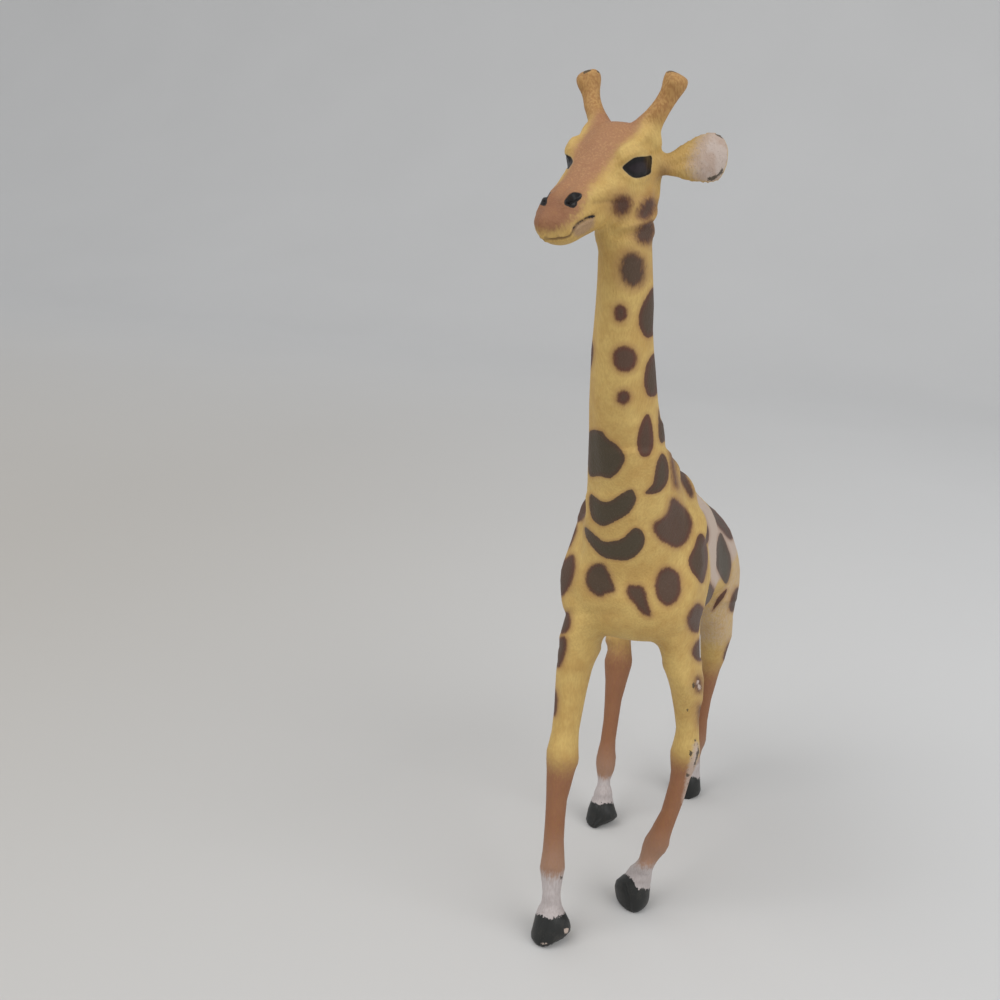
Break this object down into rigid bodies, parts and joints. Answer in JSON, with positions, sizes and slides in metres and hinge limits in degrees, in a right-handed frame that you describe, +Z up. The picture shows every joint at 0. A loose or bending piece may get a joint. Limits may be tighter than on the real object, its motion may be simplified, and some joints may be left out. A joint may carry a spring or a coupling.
{
  "type": "toy giraffe figure",
  "caption": "Solid painted plastic giraffe in mid walk, long neck leaning forward, head turned a little to its right, knobbed horns, swept back ears and flat hooves to stand on.",
  "frame": {"origin": "on the ground under the middle of the whole animal's box", "axes": "+Z up, the animal faces -Y, its left side is +X"},
  "size_m": [0.0454, 0.1716, 0.2401],
  "materials": {
    "coat": "ochre paint with brown spots, satin",
    "face": "ochre and pinkish brown paint, satin",
    "horn": "tan orange paint, satin",
    "ear": "pale base plastic inside, ochre paint outside, satin",
    "shank": "ochre paint that turns brown and then white at the ankle, black hoof, satin",
    "tuft": "dark brown paint, satin"
  },
  "bodies": {
    "root": {"torso": "coat", "neck": "coat", "head": "face", "horn_left": "horn", "horn_right": "horn", "ear_left": "ear", "ear_right": "ear", "tail": "tuft", "leg_front_left": "shank", "leg_front_right": "shank", "leg_hind_left": "shank", "leg_hind_right": "shank"}
  },
  "joints": []
}
